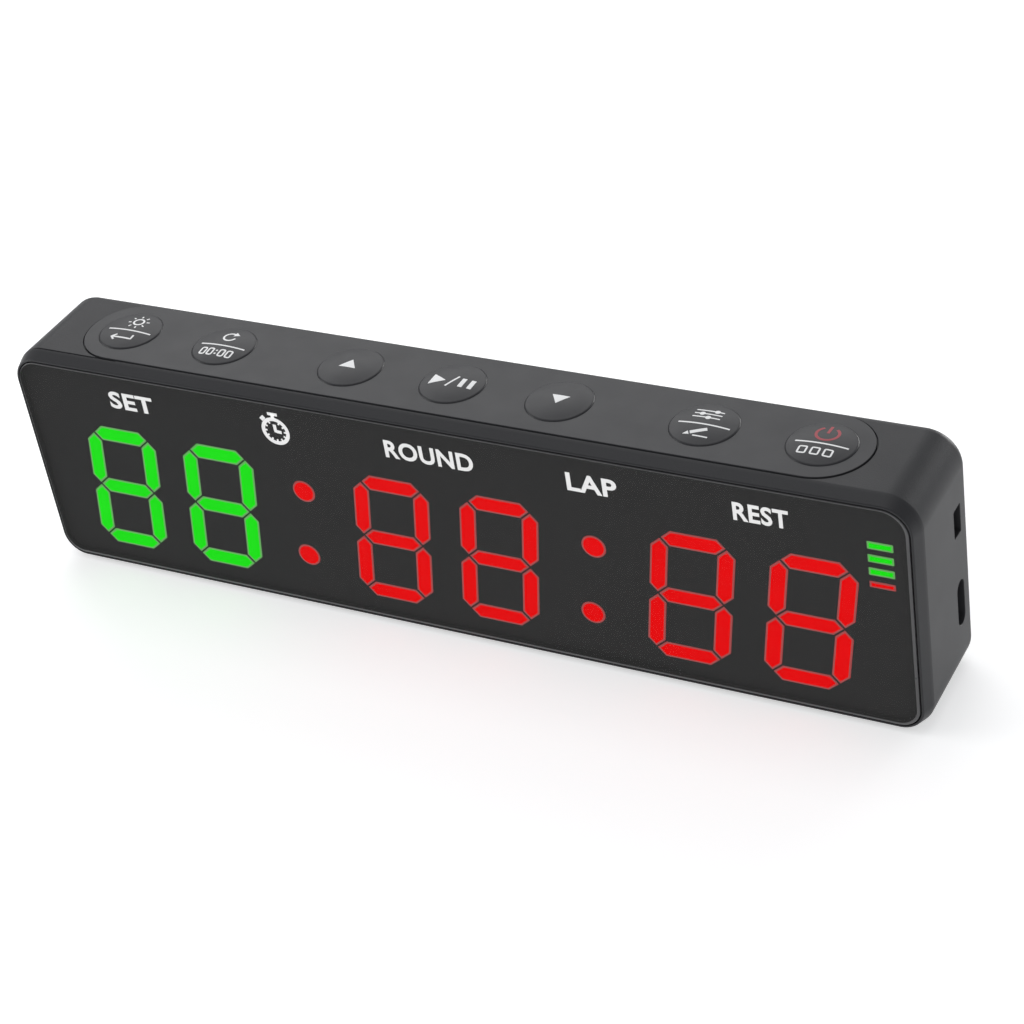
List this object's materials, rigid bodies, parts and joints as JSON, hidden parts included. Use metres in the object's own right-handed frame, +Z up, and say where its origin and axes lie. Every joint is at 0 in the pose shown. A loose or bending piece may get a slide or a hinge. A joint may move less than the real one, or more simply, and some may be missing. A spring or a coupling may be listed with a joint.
{
  "type": "gym round timer",
  "caption": "Flat rounded case with a smoked front lens over a six-digit display, a strip of push keys on top, and a slide switch and charging port on one end.",
  "frame": {"origin": "centre of the base, on the surface that the case stands on", "axes": "+X to the right along the display, +Y from the display to the rear cover, +Z up through the keys"},
  "size_m": [0.2, 0.026, 0.0538],
  "materials": {
    "case_black": "fine moulded texture",
    "cover_black": "fine moulded texture",
    "overlay_grey": "satin polyester film",
    "key_grey": "satin polyester film",
    "smoked_lens": "polished, smoked",
    "mask_black": "matt",
    "glow_green": "lit diffuser",
    "glow_red": "lit diffuser",
    "tape": "foam adhesive tape",
    "board_green": "solder mask over glass epoxy",
    "chip_black": "moulded epoxy",
    "switch_black": "moulded",
    "steel": "zinc or nickel plated",
    "nickel": "nickel plated",
    "cell_silver": "foil pouch",
    "lead_red": "sleeved wires",
    "ribbon_white": "moulded"
  },
  "bodies": {
    "case": {"housing": "case_black", "front_lens": "smoked_lens", "lens_tape": "tape", "legend_strip": "mask_black", "display_reflector": "mask_black", "digit_diffuser_1": "glow_green", "digit_diffuser_2": "glow_green", "digit_diffuser_3": "glow_red", "digit_diffuser_4": "glow_red", "digit_diffuser_5": "glow_red", "digit_diffuser_6": "glow_red", "colon_diffuser_1": "glow_red", "colon_diffuser_2": "glow_red", "gauge_diffuser_green": "glow_green", "gauge_diffuser_red": "glow_red", "display_board": "board_green", "keypad_overlay": "overlay_grey", "tact_switch_brightness": "nickel", "tact_switch_reset": "nickel", "tact_switch_up": "nickel", "tact_switch_start": "nickel", "tact_switch_down": "nickel", "tact_switch_set": "nickel", "tact_switch_power": "nickel", "key_board": "board_green", "power_board": "board_green", "usb_shell": "nickel", "usb_insulator": "switch_black", "slide_switch_body": "nickel", "battery_cell": "cell_silver", "battery_lead": "lead_red", "battery_connector": "ribbon_white", "buzzer": "chip_black", "keypad_ribbon": "ribbon_white", "magnet_left": "steel", "magnet_right": "steel", "rear_cover": "cover_black", "cover_screw_left_bottom": "steel", "cover_screw_left_top": "steel", "cover_screw_right_bottom": "steel", "cover_screw_right_top": "steel", "board_screw_1": "steel", "board_screw_2": "steel", "key_board_screw_1": "steel", "key_board_screw_2": "steel"},
    "key_brightness": {"key_cap_brightness": "key_grey", "switch_plunger_brightness": "switch_black"},
    "key_reset": {"key_cap_reset": "key_grey", "switch_plunger_reset": "switch_black"},
    "key_up": {"key_cap_up": "key_grey", "switch_plunger_up": "switch_black"},
    "key_start": {"key_cap_start": "key_grey", "switch_plunger_start": "switch_black"},
    "key_down": {"key_cap_down": "key_grey", "switch_plunger_down": "switch_black"},
    "key_set": {"key_cap_set": "key_grey", "switch_plunger_set": "switch_black"},
    "key_power": {"key_cap_power": "key_grey", "switch_plunger_power": "switch_black"},
    "power_switch": {"slide_switch_knob": "switch_black"}
  },
  "joints": [
    {"name": "press_brightness", "type": "slide", "parent": "case", "child": "key_brightness", "axis": [0, 0, -1], "range_m": [0, 0.0005], "stiffness_N_per_m": 2000},
    {"name": "press_reset", "type": "slide", "parent": "case", "child": "key_reset", "axis": [0, 0, -1], "range_m": [0, 0.0005], "stiffness_N_per_m": 2000},
    {"name": "press_up", "type": "slide", "parent": "case", "child": "key_up", "axis": [0, 0, -1], "range_m": [0, 0.0005], "stiffness_N_per_m": 2000},
    {"name": "press_start", "type": "slide", "parent": "case", "child": "key_start", "axis": [0, 0, -1], "range_m": [0, 0.0005], "stiffness_N_per_m": 2000},
    {"name": "press_down", "type": "slide", "parent": "case", "child": "key_down", "axis": [0, 0, -1], "range_m": [0, 0.0005], "stiffness_N_per_m": 2000},
    {"name": "press_set", "type": "slide", "parent": "case", "child": "key_set", "axis": [0, 0, -1], "range_m": [0, 0.0005], "stiffness_N_per_m": 2000},
    {"name": "press_power", "type": "slide", "parent": "case", "child": "key_power", "axis": [0, 0, -1], "range_m": [0, 0.0005], "stiffness_N_per_m": 2000},
    {"name": "slide_power_switch", "type": "slide", "parent": "case", "child": "power_switch", "axis": [0, 0, 1], "range_m": [0, 0.002]}
  ]
}
